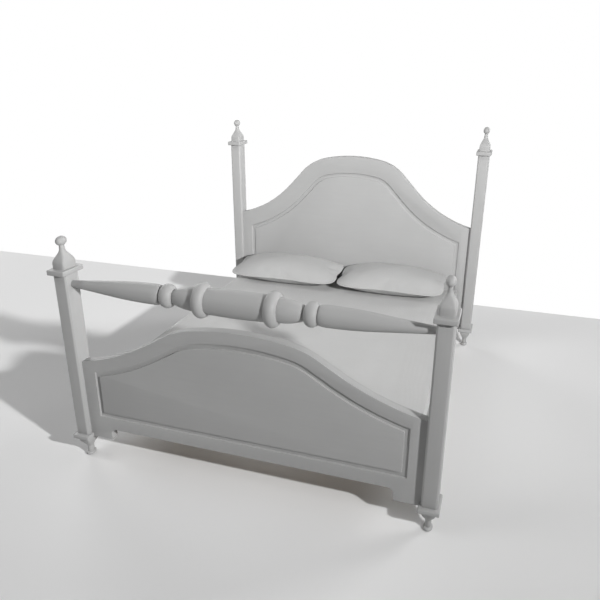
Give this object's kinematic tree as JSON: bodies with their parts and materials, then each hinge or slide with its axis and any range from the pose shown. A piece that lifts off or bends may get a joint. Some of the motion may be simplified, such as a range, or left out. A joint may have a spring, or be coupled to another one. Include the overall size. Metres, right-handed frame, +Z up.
{
  "type": "miniature four poster bed",
  "caption": "Dolls house double bed with square posts, carved finials, arched head and foot boards, a turned blanket rail, slatted base, mattress and pillows.",
  "frame": {"origin": "on the floor, under the middle of the bed", "axes": "+X to the right seen from the foot end, +Y from the footboard to the headboard, +Z up"},
  "size_m": [0.1474, 0.1714, 0.1229],
  "materials": {
    "painted_wood": "matte paint over close grain",
    "bare_wood": "bare, sanded",
    "mattress_cotton": "plain woven cotton",
    "pillow_cotton": "plain woven cotton"
  },
  "bodies": {
    "bed_frame": {"footpost_left": "painted_wood", "footpost_left_collar": "painted_wood", "footpost_left_foot": "painted_wood", "footpost_left_cap": "painted_wood", "footpost_left_finial": "painted_wood", "footpost_right": "painted_wood", "footpost_right_collar": "painted_wood", "footpost_right_foot": "painted_wood", "footpost_right_cap": "painted_wood", "footpost_right_finial": "painted_wood", "headpost_left": "painted_wood", "headpost_left_collar": "painted_wood", "headpost_left_foot": "painted_wood", "headpost_left_cap": "painted_wood", "headpost_left_finial": "painted_wood", "headpost_right": "painted_wood", "headpost_right_collar": "painted_wood", "headpost_right_foot": "painted_wood", "headpost_right_cap": "painted_wood", "headpost_right_finial": "painted_wood", "footboard": "painted_wood", "headboard": "painted_wood", "side_rail_left": "painted_wood", "side_rail_right": "painted_wood", "ledger_left": "bare_wood", "ledger_right": "bare_wood", "slat_1": "bare_wood", "slat_2": "bare_wood", "slat_3": "bare_wood", "slat_4": "bare_wood", "slat_5": "bare_wood", "slat_6": "bare_wood", "slat_7": "bare_wood", "slat_8": "bare_wood"},
    "blanket_rail": {"blanket_rail": "painted_wood"},
    "mattress": {"mattress": "mattress_cotton"},
    "pillow_left": {"pillow_left": "pillow_cotton"},
    "pillow_right": {"pillow_right": "pillow_cotton"}
  },
  "joints": [
    {"name": "blanket_rail_spin", "type": "hinge", "parent": "bed_frame", "child": "blanket_rail", "pos_m": [0, -0.0796, 0.0757], "axis": [1, 0, 0], "continuous": true},
    {"name": "mattress_lift", "type": "slide", "parent": "bed_frame", "child": "mattress", "axis": [0, 0, 1], "range_m": [0, 0.034]},
    {"name": "pillow_left_lift", "type": "slide", "parent": "mattress", "child": "pillow_left", "axis": [0, 0, 1], "range_m": [0, 0.04]},
    {"name": "pillow_right_lift", "type": "slide", "parent": "mattress", "child": "pillow_right", "axis": [0, 0, 1], "range_m": [0, 0.04]}
  ]
}
